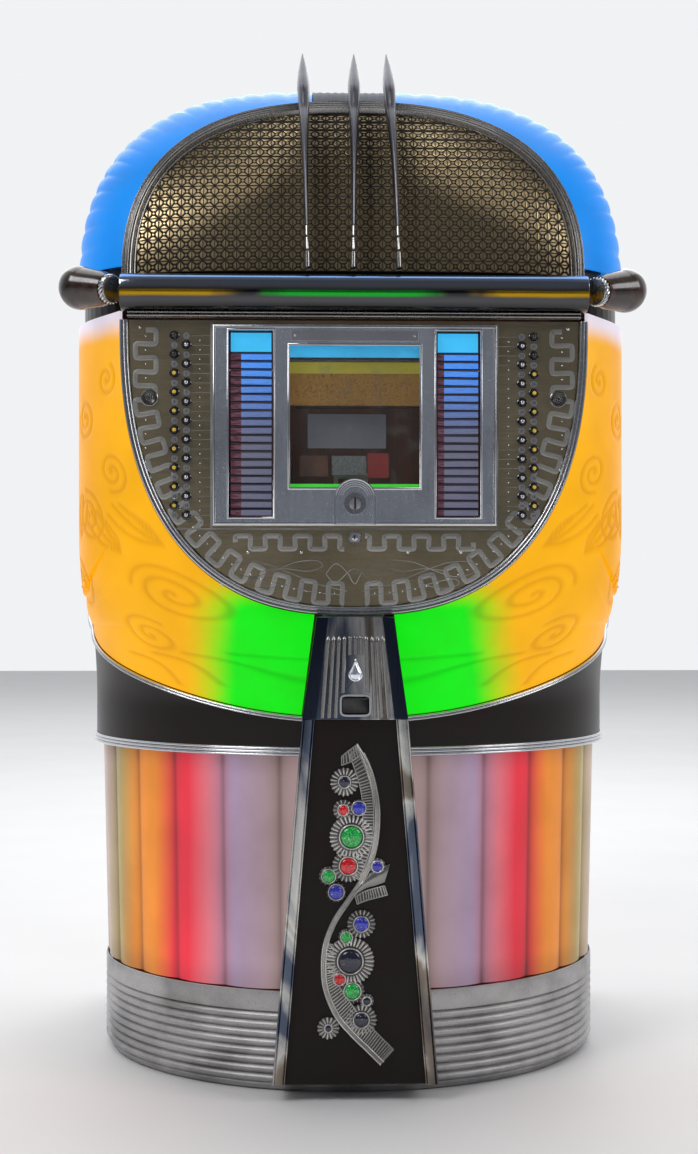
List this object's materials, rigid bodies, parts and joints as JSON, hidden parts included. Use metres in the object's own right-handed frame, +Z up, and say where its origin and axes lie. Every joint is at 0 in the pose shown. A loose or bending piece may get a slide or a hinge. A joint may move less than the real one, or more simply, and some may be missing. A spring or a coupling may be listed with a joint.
{
  "type": "jukebox",
  "caption": "Free-standing selector jukebox: wrapped lit plastics, arched grille with fins, hinged selector door, jewelled pillar and cast base.",
  "frame": {"origin": "floor level, in the middle of the bounding box's plan", "axes": "+Z up, front faces -Y, +X to the right of someone facing the front"},
  "size_m": [0.9528, 0.7154, 1.72],
  "materials": {
    "chrome": "polished",
    "blue_plastic": "translucent, lit from behind",
    "amber_plastic": "translucent, lit from behind",
    "rose_plastic": "translucent, lit from behind",
    "grey_metal": "satin",
    "panel_metal": "brushed",
    "bronze_grille": "aged",
    "dark_fin": "dark polished",
    "dark_cap": "polished",
    "dark_band": "satin",
    "black_bakelite": "satin",
    "cast_aluminium": "cast",
    "plated_steel": "plated",
    "grey_paint": "hammered",
    "glass": "clear",
    "strip_paper": "matt",
    "wood": "stained",
    "shellac": "grooved",
    "felt": "flocked",
    "cone_paper": "matt"
  },
  "bodies": {
    "cabinet": {"amplifier": "grey_paint", "back_panel": "wood", "base_casting": "cast_aluminium", "cabinet_shell": "wood", "cash_box": "grey_paint", "coin_mechanism": "grey_paint", "dome_crest": "grey_metal", "dome_frame": "grey_metal", "dome_plastic_left": "blue_plastic", "dome_plastic_right": "blue_plastic", "drive_motor": "plated_steel", "fin_centre": "dark_fin", "fin_left": "dark_fin", "fin_right": "dark_fin", "floor_board": "wood", "jewel_ornament": "cast_aluminium", "lower_plastic_left": "rose_plastic", "lower_plastic_right": "rose_plastic", "mechanism_frame": "cast_aluminium", "mechanism_shelf": "wood", "pillar_head": "chrome", "pillar_panel": "dark_band", "pillar_strip_left": "chrome", "pillar_strip_right": "chrome", "plastic_retainer": "chrome", "record_magazine": "plated_steel", "records": "shellac", "shoulder_rail": "dark_band", "speaker": "cone_paper", "speaker_baffle": "wood", "speaker_grille": "bronze_grille", "upper_plastic_left": "amber_plastic", "upper_plastic_right": "amber_plastic", "visor_bar": "chrome", "visor_cap_left": "dark_cap", "visor_cap_right": "dark_cap", "waist_band": "dark_band", "waist_trim": "chrome"},
    "selector_door": {"selector_panel": "panel_metal", "door_trim": "chrome", "bezel_frame": "chrome", "title_strip_holder_left": "strip_paper", "title_strip_holder_right": "strip_paper", "window_glass": "glass", "coin_entry_plate": "chrome", "panel_plug_left": "black_bakelite", "panel_plug_right": "black_bakelite"},
    "door_lock": {"door_lock": "plated_steel"},
    "buttons_left_outer": {"selector_buttons_left_outer": "black_bakelite"},
    "buttons_left_inner": {"selector_buttons_left_inner": "black_bakelite"},
    "buttons_right_outer": {"selector_buttons_right_outer": "black_bakelite"},
    "buttons_right_inner": {"selector_buttons_right_inner": "black_bakelite"},
    "coin_return_lever": {"coin_return_lever": "chrome"},
    "coin_return_flap": {"coin_return_flap": "black_bakelite"},
    "back_door": {"back_door": "wood"},
    "back_door_lock": {"back_door_lock": "plated_steel"},
    "turntable": {"turntable": "felt"},
    "tonearm": {"tonearm": "black_bakelite"},
    "gripper_carriage": {"gripper_carriage": "cast_aluminium"},
    "gripper_arm": {"gripper_arm": "plated_steel"}
  },
  "joints": [
    {"name": "selector_door_hinge", "type": "hinge", "parent": "cabinet", "child": "selector_door", "pos_m": [-0.374, -0.3137, 1], "axis": [0, 0, -1], "range_deg": [0, 100]},
    {"name": "door_lock_turn", "type": "hinge", "parent": "selector_door", "child": "door_lock", "pos_m": [0, -0.3071, 0.892], "axis": [0, 1, 0], "range_deg": [0, 90]},
    {"name": "button_press_left_outer", "type": "slide", "parent": "selector_door", "child": "buttons_left_outer", "axis": [0, 1, 0], "range_m": [0, 0.004], "stiffness_N_per_m": 250, "springref_m": -0.003},
    {"name": "button_press_left_inner", "type": "slide", "parent": "selector_door", "child": "buttons_left_inner", "axis": [0, 1, 0], "range_m": [0, 0.004], "stiffness_N_per_m": 250, "springref_m": -0.003},
    {"name": "button_press_right_outer", "type": "slide", "parent": "selector_door", "child": "buttons_right_outer", "axis": [0, 1, 0], "range_m": [0, 0.004], "stiffness_N_per_m": 250, "springref_m": -0.003},
    {"name": "button_press_right_inner", "type": "slide", "parent": "selector_door", "child": "buttons_right_inner", "axis": [0, 1, 0], "range_m": [0, 0.004], "stiffness_N_per_m": 250, "springref_m": -0.003},
    {"name": "coin_return_turn", "type": "hinge", "parent": "cabinet", "child": "coin_return_lever", "pos_m": [0, -0.3497, 0.676], "axis": [0, 1, 0], "range_deg": [-25, 25], "stiffness_Nm_per_rad": 0.05},
    {"name": "coin_flap_swing", "type": "hinge", "parent": "cabinet", "child": "coin_return_flap", "pos_m": [0, -0.3357, 0.6368], "axis": [1, 0, 0], "range_deg": [0, 45]},
    {"name": "back_door_hinge", "type": "hinge", "parent": "cabinet", "child": "back_door", "pos_m": [-0.3945, 0.3508, 0.73], "axis": [0, 0, 1], "range_deg": [0, 110]},
    {"name": "back_lock_turn", "type": "hinge", "parent": "back_door", "child": "back_door_lock", "pos_m": [0.365, 0.3507, 0.76], "axis": [0, 1, 0], "range_deg": [0, 90]},
    {"name": "turntable_spin", "type": "hinge", "parent": "cabinet", "child": "turntable", "pos_m": [0.155, 0.1033, 0.86], "axis": [0, 0, 1], "continuous": true},
    {"name": "tonearm_swing", "type": "hinge", "parent": "cabinet", "child": "tonearm", "pos_m": [0.31, 0.1783, 0.88], "axis": [0, 0, -1], "range_deg": [0, 38]},
    {"name": "carriage_travel", "type": "slide", "parent": "cabinet", "child": "gripper_carriage", "axis": [1, 0, 0], "range_m": [-0.25, 0.1]},
    {"name": "gripper_swing", "type": "hinge", "parent": "gripper_carriage", "child": "gripper_arm", "pos_m": [0, -0.0767, 0.8644], "axis": [-1, 0, 0], "range_deg": [0, 70]}
  ]
}
